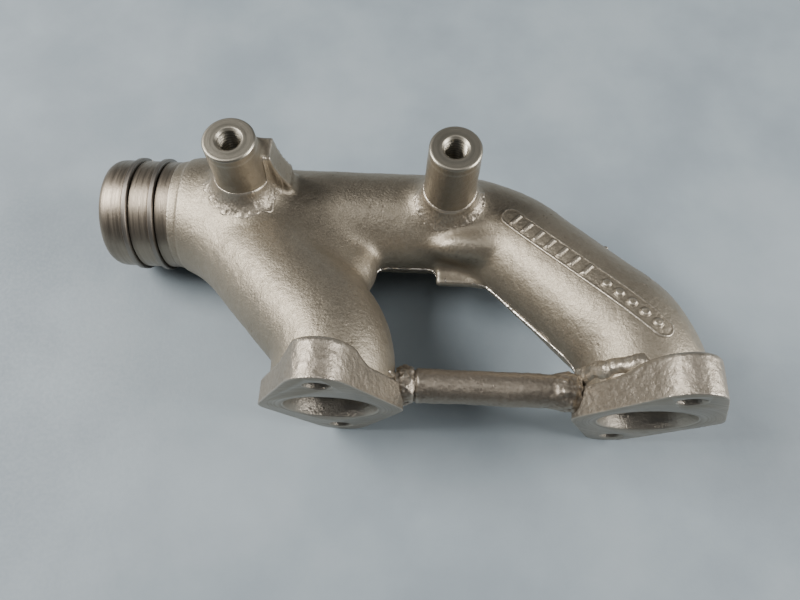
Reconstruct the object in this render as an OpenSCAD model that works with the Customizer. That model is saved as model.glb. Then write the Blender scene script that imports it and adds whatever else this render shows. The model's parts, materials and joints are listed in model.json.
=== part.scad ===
// End section of a sectional exhaust manifold: a round collector log with two
// swept runners, two bolting flanges, two tapped bosses, a tie bar and a turned
// spigot that carries two split sealing rings.
// X runs along the collector log, the port flanges face -Y, the bosses point +Z.
// The origin is the centre of the front port, on the flange's machined face.

/* [Ports and flanges] */
// Distance between the two port centres
port_pitch = 140; // [130:1:150]
// Bore of the gas passages
gas_bore_d = 42; // [38:0.5:44]
// Thickness of each port flange
flange_t = 17; // [14:0.5:18]
// Distance from the port centre to a side tip of the flange
flange_half_w = 33; // [32:0.5:36]
// Radius of a flange's side tip
flange_tip_r = 6; // [4:0.5:8]
// Distance from the port centre to each flange bolt hole
bolt_reach = 39.5; // [38:0.5:42]
// Diameter of a flange bolt hole
bolt_hole_d = 11; // [9:0.5:12]
// Radius of the lobe round a flange bolt hole
bolt_lobe_r = 13; // [11:0.5:14]
// Lean of the front flange's bolt line towards +X at its top, in degrees
front_lean = -2; // [-4:0.5:4]
// Lean of the rear flange's bolt line towards +X at its top, in degrees
rear_lean = 4; // [-5:0.5:5]
// Rise of the rear flange's right tip over its centre, in degrees
rear_tip_rise = 10; // [0:1:16]

/* [Collector log] */
// Distance of the log's axis behind the flange face
log_y = 107; // [104:0.5:112]
// Height of the log's axis against the port centres
log_z = -24; // [-26:0.5:-20]
// Outer diameter of the log
log_d = 53; // [52:0.5:56]
// Left end of the log, where the spigot starts
log_start_x = -80; // [-84:0.5:-78]

/* [Runners] */
// Outer diameter of the runners at the flanges
runner_d = 56; // [54:0.5:58]
// Distance from the front flange's face to the front runner's corner
front_corner_y = 31; // [30.5:0.5:36]
// Distance from the rear flange's face to the rear runner's corner
rear_corner_y = 34; // [32:0.5:40]
// Place along the log where the front runner's axis meets the log's
front_join_x = -72; // [-74:0.5:-70]
// Place along the log where the rear runner's axis meets the log's
rear_join_x = 76; // [72:0.5:80]
// Bend radius where the log turns into the rear runner
log_bend_r = 56; // [46:1:60]

/* [Spigot] */
// Left end of the spigot
spigot_end_x = -125; // [-128:0.5:-122]
// Outer diameter of the spigot's turned lands
land_d = 56.5; // [55:0.5:58]
// Right end of the turned lands
lands_end_x = -87; // [-88:0.5:-86]
// Diameter of the relief between the lands and the log
relief_d = 50; // [49:0.5:52]
// Outer diameter of the sealing rings
ring_d = 59.6; // [58.5:0.1:61]
// Width of a sealing ring
ring_w = 2.8; // [2.4:0.1:3.2]
// Radial depth of a sealing ring
ring_t = 3.2; // [2.6:0.1:3.6]
// Width of the split in a sealing ring
ring_gap = 1.2; // [0.6:0.1:2]
// Free space on each side of a ring in its groove
ring_play = 0.3; // [0.3:0.05:0.5]
// Centre of the outer ring groove
outer_ring_x = -111.2; // [-112:0.1:-110]
// Centre of the inner ring groove
inner_ring_x = -98; // [-99:0.1:-97]

/* [Bosses] */
// Position of the front boss along the log
front_boss_x = -50; // [-52:0.5:-48]
// Position of the rear boss along the log
rear_boss_x = 51; // [49:0.5:53]
// Distance of the boss axes behind the flange face
boss_y = 108.5; // [107:0.5:110]
// Height of the boss tops
boss_top_z = 44.5; // [42:0.5:46]
// Diameter of a boss at its top
boss_d = 24; // [22:0.5:26]
// Diameter of a boss at its foot
boss_foot_d = 27; // [26:0.5:28]
// Wall diameter of the tapped holes
tap_d = 10.4; // [10.2:0.1:10.6]
// Depth of the tapped holes
tap_depth = 24; // [18:1:28]
// Mouth diameter of the tapped holes
tap_mouth_d = 12.4; // [12:0.1:13]

/* [Tie bar] */
// Diameter of the bar between the flanges
tie_d = 15.5; // [14:0.5:17]
// Distance of the tie bar's axis behind the flange face
tie_y = 12; // [10:0.5:13]
// Height of the tie bar's axis
tie_z = -1; // [-4:0.5:2]
// Radius of the weld collar at each end of the bar
tie_collar_r = 10.5; // [9:0.5:12]

/* [Small features] */
// Width of the marking pad
pad_w = 10; // [8:0.5:12]
// Length of the marking pad
pad_len = 50; // [44:1:52]
// Height of the marking pad over the runner
pad_h = 0.7; // [0.5:0.1:1]
// Height of the raised marks over the pad
mark_h = 0.8; // [0.5:0.1:1]
// Thickness of the parting fins
fin_t = 1.2; // [1:0.1:1.6]
// Distance that the parting fins stand out
fin_reach = 2; // [1:0.5:3]

/* [Hidden] */
$fn = 96;

gas_r = gas_bore_d / 2;
log_r = log_d / 2;
runner_r = runner_d / 2;
land_r = land_d / 2;
through = 1;             // overshoot of a cut past the faces it opens
blend_drop = 0.2;        // a runner ends this much inside the log's surface

// Corners of the two gas paths, as points in space
log_end = [log_start_x, log_y, log_z];
front_port = [0, 0, 0];
rear_port = [port_pitch, 0, 0];
front_corner = [0, front_corner_y, 0];
rear_corner = [port_pitch, rear_corner_y, 0];
front_join = [front_join_x, log_y, log_z];
rear_join = [rear_join_x, log_y, log_z];

// Bend radii that carry each runner from its corner straight to its flange's back
front_bend_r = (front_corner_y - flange_t) / tan(turn_angle(front_port, front_corner, front_join) / 2);
rear_bend_r = (rear_corner_y - flange_t) / tan(turn_angle(rear_port, rear_corner, rear_join) / 2);

// Direction of the front runner's sloping run, and the place where it nears the log
front_run_start = bend_end(front_port, front_corner, front_join, front_bend_r);
front_way = unit(front_join - front_run_start);
front_plain = 31;        // plain length of the sloping run, up to that place
front_split = front_run_start + front_way * front_plain;

// Place along the log where it starts to bend into the rear runner
elbow_start_x = rear_join_x - bend_setback(log_end, rear_join, rear_corner, log_bend_r);

// Ends of the tie bar, just inside the flange tips
tie_left = flange_half_w - 2;
tie_right = port_pitch - flange_half_w + 2;

// Foot radius and half height of the front boss's collar
collar_foot_r = 23;
collar_half_h = 10;

// Direction of the sloping run of the rear runner, and the way to its window side
rear_run = (rear_corner - rear_join) / norm(rear_corner - rear_join);
window_side = cross(rear_run, [0, 0, 1]) / norm(cross(rear_run, [0, 0, 1]));

// Place of the marking pad on the rear runner's slope, and its two groups of marks
pad_along = 54;
pad_outward = 3.7;
mark_groups = [7, 5];
mark_pitch = 3.2;
mark_w = 1.2;
mark_len = 6;
group_start = [-19, 6.5];

// Colours of the cast and of the machined surfaces
cast_colour = [0.43, 0.40, 0.36];
turned_colour = [0.66, 0.62, 0.55];
faced_colour = [0.50, 0.46, 0.40];
ring_colour = [0.38, 0.36, 0.34];

// --- Vector helpers -------------------------------------------------------

function unit(v) = v / norm(v);

// Angles that turn the X and Z axes onto the unit vectors x and z
function frame_angles(x, z) =
    let (y = cross(z, x))
    [atan2(y[2], z[2]), -asin(x[2]), atan2(x[1], x[0])];

// Cylinder or cone from point a to point b, run past each end by extra
module rod(a, b, r1, r2, extra = 0) {
    d = b - a;
    widen = extra * (r2 - r1) / norm(d);
    translate(a)
        rotate([0, acos(d[2] / norm(d)), atan2(d[1], d[0])])
            translate([0, 0, -extra])
                cylinder(h = norm(d) + 2 * extra, r1 = r1 - widen, r2 = r2 + widen);
}

// Angle through which the path a, corner, b turns
function turn_angle(a, corner, b) = acos(unit(corner - a) * unit(b - corner));

// Length of straight pipe that a bend at a corner takes up on each side
function bend_setback(a, corner, b, bend_r) = bend_r * tan(turn_angle(a, corner, b) / 2);
function bend_start(a, corner, b, bend_r) =
    corner - unit(corner - a) * bend_setback(a, corner, b, bend_r);
function bend_end(a, corner, b, bend_r) =
    corner + unit(b - corner) * bend_setback(a, corner, b, bend_r);

// Round bend of a bar of radius r at a corner of the path a, corner, b; it starts
// lead degrees early
module bend(a, corner, b, bend_r, r, lead = 0) {
    u = unit(corner - a);
    v = unit(b - corner);
    turn = turn_angle(a, corner, b);
    axis = unit(cross(u, v));
    inward = cross(axis, u);
    centre = bend_start(a, corner, b, bend_r) + inward * bend_r;
    translate(centre)
        rotate(frame_angles(-inward, axis))
            rotate([0, 0, -lead])
                rotate_extrude(angle = turn + lead)
                    translate([bend_r, 0])
                        circle(r = r);
}

// --- Shared envelopes ------------------------------------------------------

module log_envelope(r) {
    rod(log_end, bend_start(log_end, rear_join, rear_corner, log_bend_r), r, r);
}

// Sloping run of the front runner, from its bend to the log's axis
module front_run_envelope(r_port, r_log, extra = 0) {
    rod(front_run_start, front_join, r_port, r_log, extra);
}

// Sloping run of the rear runner, from the log elbow to its bend
module rear_run_envelope(r_log, r_port, extra = 0) {
    rod(bend_end(log_end, rear_join, rear_corner, log_bend_r),
        bend_start(rear_join, rear_corner, rear_port, rear_bend_r), r_log, r_port, extra);
}

module front_bend_envelope(r) {
    bend(front_port, front_corner, front_join, front_bend_r, r);
}

module rear_bend_envelope(r) {
    bend(rear_join, rear_corner, rear_port, rear_bend_r, r);
}

module elbow_envelope(r, lead = 0) {
    bend(log_end, rear_join, rear_corner, log_bend_r, r, lead);
}

// Straight bar on the log's axis, longer than the log at both ends
module long_log_envelope() {
    translate(log_end - [log_d, 0, 0])
        rotate([0, 90, 0])
            cylinder(h = 4 * log_d, r = log_r);
}

module boss_envelope(x) {
    translate([x, boss_y, log_z])
        cylinder(h = boss_top_z - log_z, d1 = boss_foot_d, d2 = boss_d);
}

// --- Log and runners -------------------------------------------------------

module log_tube() {
    color(cast_colour)
        difference() {
            log_envelope(log_r);
            translate([-through, 0, 0]) log_envelope(gas_r);
            translate([through, 0, 0]) log_envelope(gas_r);
            front_run_envelope(gas_r, gas_r);
        }
}

module log_elbow() {
    color(cast_colour)
        difference() {
            elbow_envelope(log_r);
            elbow_envelope(gas_r);
        }
}

module front_bend() {
    color(cast_colour)
        difference() {
            front_bend_envelope(runner_r);
            front_bend_envelope(gas_r);
        }
}

// Plain pipe of the front runner, before it meets the log
module front_runner() {
    color(cast_colour)
        difference() {
            front_run_envelope(runner_r, log_r - blend_drop);
            front_run_envelope(gas_r, gas_r, through);
            rod(front_split, front_join + front_way * runner_d, runner_d, runner_d);
        }
}

// End of the front runner that opens into the log
module front_branch() {
    color(cast_colour)
        difference() {
            front_run_envelope(runner_r, log_r - blend_drop);
            front_run_envelope(gas_r, gas_r, through);
            rod(front_split, front_split - front_way * 2 * runner_d, runner_d, runner_d);
            long_log_envelope();
            translate([log_start_x - log_d, 0, -log_d])
                cube([lands_end_x - log_start_x + log_d, log_y + log_d, 2 * log_d]);
            translate([log_start_x - log_d, log_y, -2 * log_d])
                cube([4 * log_d, log_d, 4 * log_d]);
        }
}

module rear_runner() {
    color(cast_colour)
        difference() {
            rear_run_envelope(log_r, runner_r);
            rear_run_envelope(gas_r, gas_r, through);
        }
}

module rear_bend() {
    color(cast_colour)
        difference() {
            rear_bend_envelope(runner_r);
            rear_bend_envelope(gas_r);
        }
}

// --- Flanges ---------------------------------------------------------------

// Line that touches circle 1 and circle 2 on the side given by turn, as two points
function tangent_line(c1, r1, c2, r2, turn) =
    let (
        along = c2 - c1,
        angle = atan2(along[1], along[0]) + turn * acos((r1 - r2) / norm(along)),
        normal = [cos(angle), sin(angle)]
    )
    [c1 + r1 * normal, c2 + r2 * normal];

// Solid plate of a flange, standing on the XY plane; tip_turn tilts its side tips
module flange_plate(tip_turn) {
    tip_reach = flange_half_w - flange_tip_r;
    lobe = [0, bolt_reach];
    tip = tip_reach * [cos(tip_turn), sin(tip_turn)];
    right = tangent_line(lobe, bolt_lobe_r, tip, flange_tip_r, 1);
    left = tangent_line(lobe, bolt_lobe_r, -tip, flange_tip_r, -1);
    linear_extrude(height = flange_t)
        polygon([
            right[0], right[1], -left[1], -left[0],
            -right[0], -right[1], left[1], left[0]
        ]);
    for (side = [-1, 1]) {
        translate([0, side * bolt_reach, 0])
            cylinder(h = flange_t, r = bolt_lobe_r);
        translate([side * tip[0], side * tip[1], 0])
            cylinder(h = flange_t, r = flange_tip_r);
    }
}

// Plate of the flange round a port, with its machined face facing -Y
module flange_envelope(port, lean, tip_turn) {
    translate(port)
        rotate([-90, 0, 0])
            rotate([0, 0, lean])
                flange_plate(tip_turn);
}

module flange(port, lean, tip_turn) {
    color(faced_colour)
        difference() {
            flange_envelope(port, lean, tip_turn);
            translate(port)
                rotate([-90, 0, 0])
                    rotate([0, 0, lean])
                        for (y = [-bolt_reach, 0, bolt_reach])
                            translate([0, y, -through])
                                cylinder(h = flange_t + 2 * through,
                                    r = y == 0 ? gas_r : bolt_hole_d / 2);
        }
}

module front_flange() {
    flange(front_port, front_lean, 0);
}

module rear_flange() {
    flange(rear_port, rear_lean, -rear_tip_rise);
}

// --- Spigot and its rings --------------------------------------------------

module spigot() {
    nose = 3;
    groove_r = ring_d / 2 - ring_t - ring_play;
    groove_half = ring_w / 2 + ring_play;
    bore_to = log_start_x - spigot_end_x + 2 * through;
    color(turned_colour)
        translate([spigot_end_x, log_y, log_z])
            rotate([0, 90, 0])
                difference() {
                    union() {
                        cylinder(h = nose, r1 = land_r - 2, r2 = land_r);
                        translate([0, 0, nose])
                            cylinder(h = lands_end_x - spigot_end_x - nose, r = land_r);
                        translate([0, 0, lands_end_x - spigot_end_x])
                            cylinder(h = log_start_x - lands_end_x, d = relief_d);
                    }
                    translate([0, 0, -through])
                        cylinder(h = bore_to, r = gas_r);
                    for (x = [outer_ring_x, inner_ring_x])
                        translate([0, 0, x - spigot_end_x - groove_half])
                            difference() {
                                cylinder(h = 2 * groove_half, r = land_r + through);
                                translate([0, 0, -through])
                                    cylinder(h = 2 * groove_half + 2 * through, r = groove_r);
                            }
                }
}

// Split ring round the log's axis, with its split at the given angle from +Y
module seal_ring(x, split_angle) {
    color(ring_colour)
        translate([x - ring_w / 2, log_y, log_z])
            rotate([split_angle, 0, 0])
                difference() {
                    rotate([0, 90, 0])
                        cylinder(h = ring_w, d = ring_d);
                    translate([-through, 0, 0])
                        rotate([0, 90, 0])
                            cylinder(h = ring_w + 2 * through, r = ring_d / 2 - ring_t);
                    translate([-through, 0, -ring_gap / 2])
                        cube([ring_w + 2 * through, ring_d, ring_gap]);
                }
}

module outer_seal_ring() {
    seal_ring(outer_ring_x, 20);
}

module inner_seal_ring() {
    seal_ring(inner_ring_x, -40);
}

// --- Bosses ----------------------------------------------------------------

// Seats its child on the log and the front runner
module seat_on_log() {
    difference() {
        children();
        log_envelope(log_r);
        front_run_envelope(runner_r, log_r - blend_drop);
    }
}

// Seats its child on the log and the elbow, on each side of the place where they meet
module seat_across_elbow() {
    far = 4 * log_d;
    lead = 20;
    difference() {
        children();
        long_log_envelope();
        translate([elbow_start_x, 0, -far / 2])
            cube(far);
    }
    difference() {
        children();
        elbow_envelope(log_r, lead);
        translate([elbow_start_x - far, 0, -far / 2])
            cube(far);
    }
}

// Boss with its tapped hole, not yet seated
module boss_blank(x) {
    difference() {
        boss_envelope(x);
        translate([x, boss_y, boss_top_z - tap_depth])
            cylinder(h = tap_depth + through, d = tap_d);
        translate([x, boss_y, boss_top_z - (tap_mouth_d - tap_d) / 2])
            cylinder(h = tap_mouth_d / 2, d1 = tap_d, d2 = tap_d + tap_mouth_d);
    }
}

module front_boss() {
    color(turned_colour)
        seat_on_log()
            boss_blank(front_boss_x);
}

module rear_boss() {
    color(turned_colour)
        seat_across_elbow()
            boss_blank(rear_boss_x);
}

// Cone of the sand-rough collar that blends the front boss into the log
module collar_envelope() {
    translate([front_boss_x, boss_y, log_z + log_r - collar_half_h])
        cylinder(h = 2 * collar_half_h, r1 = collar_foot_r, r2 = boss_d / 2);
}

module front_boss_collar() {
    color(cast_colour)
        seat_on_log()
            difference() {
                collar_envelope();
                boss_envelope(front_boss_x);
            }
}

// Rib behind the front boss, with a concave right edge
module boss_rib() {
    rib_t = 12;
    rib_top = 32;
    rib_reach = 16;
    scoop_r = 60;
    color(cast_colour)
        difference() {
            translate([front_boss_x, boss_y - 1, log_z])
                cube([rib_reach + 6, rib_t, rib_top - log_z]);
            translate([front_boss_x + rib_reach + scoop_r, boss_y + rib_t, rib_top + 3])
                rotate([90, 0, 0])
                    cylinder(h = 2 * rib_t, r = scoop_r);
            boss_envelope(front_boss_x);
            log_envelope(log_r);
            front_run_envelope(runner_r, log_r - blend_drop);
            collar_envelope();
        }
}

// --- Tie bar ---------------------------------------------------------------

module tie_bar() {
    color(cast_colour)
        difference() {
            translate([tie_left, tie_y, tie_z])
                rotate([0, 90, 0])
                    cylinder(h = tie_right - tie_left, d = tie_d);
            flange_envelope(front_port, front_lean, 0);
            flange_envelope(rear_port, rear_lean, -rear_tip_rise);
            front_bend_envelope(runner_r);
            rear_bend_envelope(runner_r);
        }
}

// Weld collar round one end of the tie bar
module tie_collar(x, length) {
    color(cast_colour)
        difference() {
            translate([x, tie_y, tie_z])
                rotate([0, 90, 0])
                    cylinder(h = length, r = tie_collar_r);
            translate([x - through, tie_y, tie_z])
                rotate([0, 90, 0])
                    cylinder(h = length + 2 * through, d = tie_d);
            flange_envelope(front_port, front_lean, 0);
            flange_envelope(rear_port, rear_lean, -rear_tip_rise);
            front_bend_envelope(runner_r);
            rear_bend_envelope(runner_r);
        }
}

module front_tie_collar() {
    tie_collar(tie_left - 3, 7);
}

module rear_tie_collar() {
    tie_collar(tie_right - 6, 9);
}

// --- Small cast features ---------------------------------------------------

// Moves its children to the rear runner's slope: X along the run, Y to the window
module on_rear_run() {
    translate(rear_join)
        rotate(frame_angles(rear_run, cross(rear_run, window_side)))
            children();
}

// Web that fills the crotch between the log and the rear runner
module crotch_web() {
    web_t = 7;
    web_front = log_y - log_r - 5;
    web_back = web_front + 10;
    color(cast_colour)
        difference() {
            translate([elbow_start_x, 0, log_z - web_t / 2])
                linear_extrude(height = web_t)
                    polygon([
                        [1, web_back], [1, web_front], [17, web_front],
                        [22, web_front - 4], [24, web_back]
                    ]);
            elbow_envelope(log_r);
        }
}

// Parting fin along the log's edge of the window
module log_fin() {
    fin_start = 22;
    fin_end = elbow_start_x - 0.5;
    color(cast_colour)
        difference() {
            translate([fin_start, log_y - log_r - fin_reach, log_z - fin_t / 2])
                cube([fin_end - fin_start, fin_reach + 2, fin_t]);
            log_envelope(log_r);
        }
}

// Parting fin along the rear runner's edge of the window
module runner_fin() {
    fin_start = 34;
    fin_len = 28;
    color(cast_colour)
        difference() {
            on_rear_run()
                translate([fin_start, log_r - 2, -fin_t / 2])
                    cube([fin_len, fin_reach + 3, fin_t]);
            rear_run_envelope(log_r, runner_r);
        }
}

// Small vent pip left on the outer side of the rear runner
module vent_pip() {
    pip_r = 1.4;
    pip_at = 50;
    color(cast_colour)
        difference() {
            on_rear_run()
                translate([pip_at, -log_r + 1, 0])
                    rotate([90, 0, 0])
                        cylinder(h = 3, r = pip_r);
            rear_run_envelope(log_r, runner_r);
        }
}

// Oblong of the marking pad, seen from above
module pad_outline() {
    square([pad_len - pad_w, pad_w], center = true);
    for (side = [-1, 1])
        translate([side * (pad_len - pad_w) / 2, 0])
            circle(d = pad_w);
}

// Moves its children onto the pad's centre line
module on_pad() {
    centre = rear_join + rear_run * pad_along - window_side * pad_outward;
    translate([centre[0], centre[1], 0])
        rotate([0, 0, atan2(rear_run[1], rear_run[0])])
            children();
}

// Plain bars and dots in two groups, seen from above
module marks() {
    for (g = [0, 1], i = [0 : mark_groups[g] - 1])
        translate([group_start[g] + i * mark_pitch, 0])
            if (i % 2 == 0)
                square([mark_w, mark_len], center = true);
            else
                circle(r = mark_w);
}

// Shell of the rear runner's slope that stands up by h over the shape beneath it
module raised_on_slope(h) {
    intersection() {
        rear_run_envelope(log_r + h, runner_r + h);
        on_pad()
            linear_extrude(height = log_d)
                children();
    }
}

// Pad with plain raised marks on the rear runner's slope
module marking_pad() {
    color(cast_colour)
        difference() {
            union() {
                raised_on_slope(pad_h) pad_outline();
                raised_on_slope(pad_h + mark_h) marks();
            }
            rear_run_envelope(log_r, runner_r, through);
        }
}

log_tube();
log_elbow();
front_branch();
front_runner();
front_bend();
rear_runner();
rear_bend();
spigot();
outer_seal_ring();
inner_seal_ring();
front_flange();
rear_flange();
front_boss();
rear_boss();
front_boss_collar();
boss_rib();
tie_bar();
front_tie_collar();
rear_tie_collar();
crotch_web();
log_fin();
runner_fin();
marking_pad();
vent_pip();
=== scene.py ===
"""Exhaust manifold end section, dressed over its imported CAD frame. Lengths in the script are in millimetres."""
import json
import math

import bmesh
import bpy
import numpy as np
from mathutils import Matrix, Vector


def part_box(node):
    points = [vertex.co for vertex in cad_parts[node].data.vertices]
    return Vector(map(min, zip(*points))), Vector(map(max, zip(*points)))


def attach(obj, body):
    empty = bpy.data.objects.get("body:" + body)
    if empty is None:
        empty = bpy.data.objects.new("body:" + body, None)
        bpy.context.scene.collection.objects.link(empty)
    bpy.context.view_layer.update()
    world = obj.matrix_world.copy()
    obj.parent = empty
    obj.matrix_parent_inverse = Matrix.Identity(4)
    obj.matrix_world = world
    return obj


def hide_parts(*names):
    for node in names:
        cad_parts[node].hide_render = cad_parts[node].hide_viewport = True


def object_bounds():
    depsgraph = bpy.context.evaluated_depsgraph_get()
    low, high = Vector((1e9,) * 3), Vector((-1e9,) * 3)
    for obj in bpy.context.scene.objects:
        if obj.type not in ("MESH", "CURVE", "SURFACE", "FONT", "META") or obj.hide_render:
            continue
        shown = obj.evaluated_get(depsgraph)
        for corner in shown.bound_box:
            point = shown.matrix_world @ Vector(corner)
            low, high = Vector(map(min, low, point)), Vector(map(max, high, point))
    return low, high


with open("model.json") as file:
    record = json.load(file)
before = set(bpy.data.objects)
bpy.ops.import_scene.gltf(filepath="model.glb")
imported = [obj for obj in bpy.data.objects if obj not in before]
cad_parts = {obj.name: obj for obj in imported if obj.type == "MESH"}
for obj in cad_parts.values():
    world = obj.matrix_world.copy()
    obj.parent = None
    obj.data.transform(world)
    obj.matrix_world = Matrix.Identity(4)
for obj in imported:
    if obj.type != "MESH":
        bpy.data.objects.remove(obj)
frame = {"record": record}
cad_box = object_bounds()
MM = 0.001

# --- Sizes taken from the frame ----------------------------------------------


def node_box(node):
    """Lowest and highest corner of a CAD node."""
    low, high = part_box(node)
    return np.array(low) / MM, np.array(high) / MM


def mount(name):
    """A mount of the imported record."""
    return next(m for m in frame["record"]["mounts"] if m["name"] == name)


def mount_place(name):
    """Place of a mount."""
    return np.array(mount(name)["pos_m"]) / MM


LOG_LOW, LOG_HIGH = node_box("log_tube")
LOG_R = (LOG_HIGH[2] - LOG_LOW[2]) / 2
LOG_AXIS = np.array([0, (LOG_LOW[1] + LOG_HIGH[1]) / 2, (LOG_LOW[2] + LOG_HIGH[2]) / 2])
LOG_START_X = LOG_LOW[0]
GAS_R = mount("front_port")["dims"]["r_mm"]
STUD_R = mount("front_port_bolts")["dims"]["hole_r_mm"]
STUD_REACH = mount("front_port_bolts")["dims"]["pcd_mm"] / 2
FRONT_PORT = mount_place("front_port_bolts")
REAR_PORT = mount_place("rear_port_bolts")
FLANGE_T = node_box("front_flange")[1][1]
RUNNER_R = node_box("front_bend")[1][2]

SPIGOT_LOW, SPIGOT_HIGH = node_box("spigot")
LAND_R = (SPIGOT_HIGH[2] - SPIGOT_LOW[2]) / 2
NOSE_X = SPIGOT_LOW[0]
LAND_END_X = NOSE_X + mount("slip_joint")["dims"]["length_mm"]
RELIEF_DEPTH = 3.25      # step down behind the last land
RELIEF_R = LAND_R - RELIEF_DEPTH

BOSS_AXES = [mount_place("front_boss_thread"), mount_place("rear_boss_thread")]
BOSS_TOP = node_box("front_boss")[1][2]
TAP_R = mount("front_boss_thread")["dims"]["r_mm"]
BOSS_TOP_R = 12.0
BOSS_FOOT_R = 13.5

BAR_LOW, BAR_HIGH = node_box("tie_bar")
BAR_AXIS = (BAR_LOW + BAR_HIGH) / 2
BAR_R = (BAR_HIGH[2] - BAR_LOW[2]) / 2

# Corners of the two gas paths
FRONT_CORNER = FRONT_PORT + np.array([0, 31.0, 0])
REAR_CORNER = REAR_PORT + np.array([0, 34.0, 0])
FRONT_JOIN = LOG_AXIS + np.array([-72.0, 0, 0])
REAR_JOIN = LOG_AXIS + np.array([76.0, 0, 0])
LOG_BEND_R = 56.0
END_LAP = 8.0           # how far the runners reach into their flanges

# Lattice of values that every lump and ripple is read from
LATTICE = np.random.default_rng(11).random((48, 48, 48))

# --- Lines and distances -----------------------------------------------------


def unit(v):
    return v / np.linalg.norm(v)


def turn_between(before, corner, after):
    """Angle through which a path turns at a corner."""
    return math.acos(float(unit(corner - before) @ unit(after - corner)))


def bend_points(before, corner, after, bend_r, steps=16):
    """Points of the round bend of a path at a corner."""
    u = unit(corner - before)
    v = unit(after - corner)
    turn = turn_between(before, corner, after)
    inward = unit(v - (v @ u) * u)
    start = corner - u * bend_r * math.tan(turn / 2)
    centre = start + inward * bend_r
    angles = np.linspace(0, turn, steps)[:, None]
    return centre + bend_r * (np.sin(angles) * u - np.cos(angles) * inward)


def port_bend_r(port, corner, join):
    """Bend radius that brings a runner out square on its flange's back."""
    reach = corner[1] - FLANGE_T
    return reach / math.tan(turn_between(port, corner, join) / 2)


def stretch(start, end, step=6.0):
    """Points along a straight stretch, without its ends."""
    count = max(2, int(np.linalg.norm(end - start) / step))
    parts = np.linspace(0, 1, count + 1)[1:-1, None]
    return start + parts * (end - start)


FRONT_BEND = bend_points(FRONT_PORT, FRONT_CORNER, FRONT_JOIN,
                         port_bend_r(FRONT_PORT, FRONT_CORNER, FRONT_JOIN))
ELBOW = bend_points(LOG_AXIS + np.array([LOG_START_X, 0, 0]), REAR_JOIN, REAR_CORNER, LOG_BEND_R, 20)
REAR_BEND = bend_points(REAR_JOIN, REAR_CORNER, REAR_PORT,
                        port_bend_r(REAR_PORT, REAR_CORNER, REAR_JOIN))


def front_line(lead):
    """Centre line of the front runner, from lead before its bend to the log's axis."""
    start = FRONT_BEND[0] - np.array([0, lead, 0])
    return np.vstack([start, FRONT_BEND, stretch(FRONT_BEND[-1], FRONT_JOIN), FRONT_JOIN])


def log_line(start_x, lead):
    """Centre line of the log, its elbow and the rear runner, to lead past the last bend."""
    start = LOG_AXIS + np.array([start_x, 0, 0])
    end = REAR_BEND[-1] - np.array([0, lead, 0])
    return np.vstack([start, stretch(start, ELBOW[0], 20), ELBOW,
                      stretch(ELBOW[-1], REAR_BEND[0]), REAR_BEND, end])


def pipe_distance(p, line, radii):
    """Distance of points p from the skin of a round pipe along a line."""
    nearest = np.full(len(p), np.inf)
    for a, b, ra, rb in zip(line[:-1], line[1:], radii[:-1], radii[1:]):
        d = b - a
        t = np.clip(((p - a) @ d) / (d @ d), 0, 1)
        gap = np.linalg.norm(p - a - t[:, None] * d, axis=1) - (ra + t * (rb - ra))
        nearest = np.minimum(nearest, gap)
    return nearest


def soft_union(a, b, reach):
    """Joins two skins with a fillet of about that reach."""
    near = np.maximum(reach - np.abs(a - b), 0) / reach
    return np.minimum(a, b) - near * near * reach / 4


def box_distance(p, low, high, edge_r):
    """Distance from the skin of a box with rounded edges."""
    centre = (np.array(low) + np.array(high)) / 2
    half = (np.array(high) - np.array(low)) / 2 - edge_r
    q = np.abs(p - centre) - half
    outside = np.linalg.norm(np.maximum(q, 0), axis=1)
    return outside + np.minimum(q.max(axis=1), 0) - edge_r


def mound_distance(p, centre, radii):
    """Distance from the skin of a rounded mound."""
    q = (p - np.array(centre)) / np.array(radii)
    return (np.linalg.norm(q, axis=1) - 1) * min(radii)


def lumps(p, size, seed=0):
    """Smooth rise and fall between -1 and 1 over about that size, at points p."""
    q = np.asarray(p) / size + 7.3 * seed + 100
    cell = np.floor(q).astype(int)
    f = q - cell
    f = f * f * (3 - 2 * f)
    total = np.zeros(len(q))
    for corner in np.ndindex(2, 2, 2):
        weight = np.prod(np.where(corner, f, 1 - f), axis=1)
        x, y, z = ((cell + corner) % 48).T
        total += weight * LATTICE[x, y, z]
    return total * 2 - 1


FRONT_LINE = front_line(END_LAP)
FRONT_RADII = np.interp(np.arange(len(FRONT_LINE)), [0, len(FRONT_BEND), len(FRONT_LINE) - 1],
                        [RUNNER_R, RUNNER_R, LOG_R - 0.2])
LOG_LINE = log_line(LOG_START_X, END_LAP)
ELBOW_END = len(LOG_LINE) - len(REAR_BEND) - 2 - len(stretch(ELBOW[-1], REAR_BEND[0])) + 1
REAR_BEND_AT = len(LOG_LINE) - len(REAR_BEND) - 1
LOG_RADII = np.interp(np.arange(len(LOG_LINE)), [0, ELBOW_END, REAR_BEND_AT, len(LOG_LINE) - 1],
                      [LOG_R, LOG_R, RUNNER_R, RUNNER_R])


def boss_radius(z):
    """Radius of a boss's drafted side at height z."""
    share = (z - LOG_AXIS[2]) / (BOSS_TOP - LOG_AXIS[2])
    return BOSS_FOOT_R + share * (BOSS_TOP_R - BOSS_FOOT_R)


def boss_distance(p, axis, top):
    """Distance from the skin of a boss that ends at height top."""
    side = np.hypot(p[:, 0] - axis[0], p[:, 1] - axis[1]) - boss_radius(p[:, 2])
    return np.maximum(np.maximum(side, p[:, 2] - top), LOG_AXIS[2] - p[:, 2])


RIB_HIGH = node_box("boss_rib")[1]
RIB_LOW = np.array([BOSS_AXES[0][0], RIB_HIGH[1] - 12, LOG_AXIS[2]])
WEB_LOW, WEB_HIGH = node_box("crotch_web")
CORNER_LINE = LOG_AXIS + np.array([[-16.0, -26, 9], [4.0, -34.5, 9]])
CORNER_R = 10.5


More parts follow.
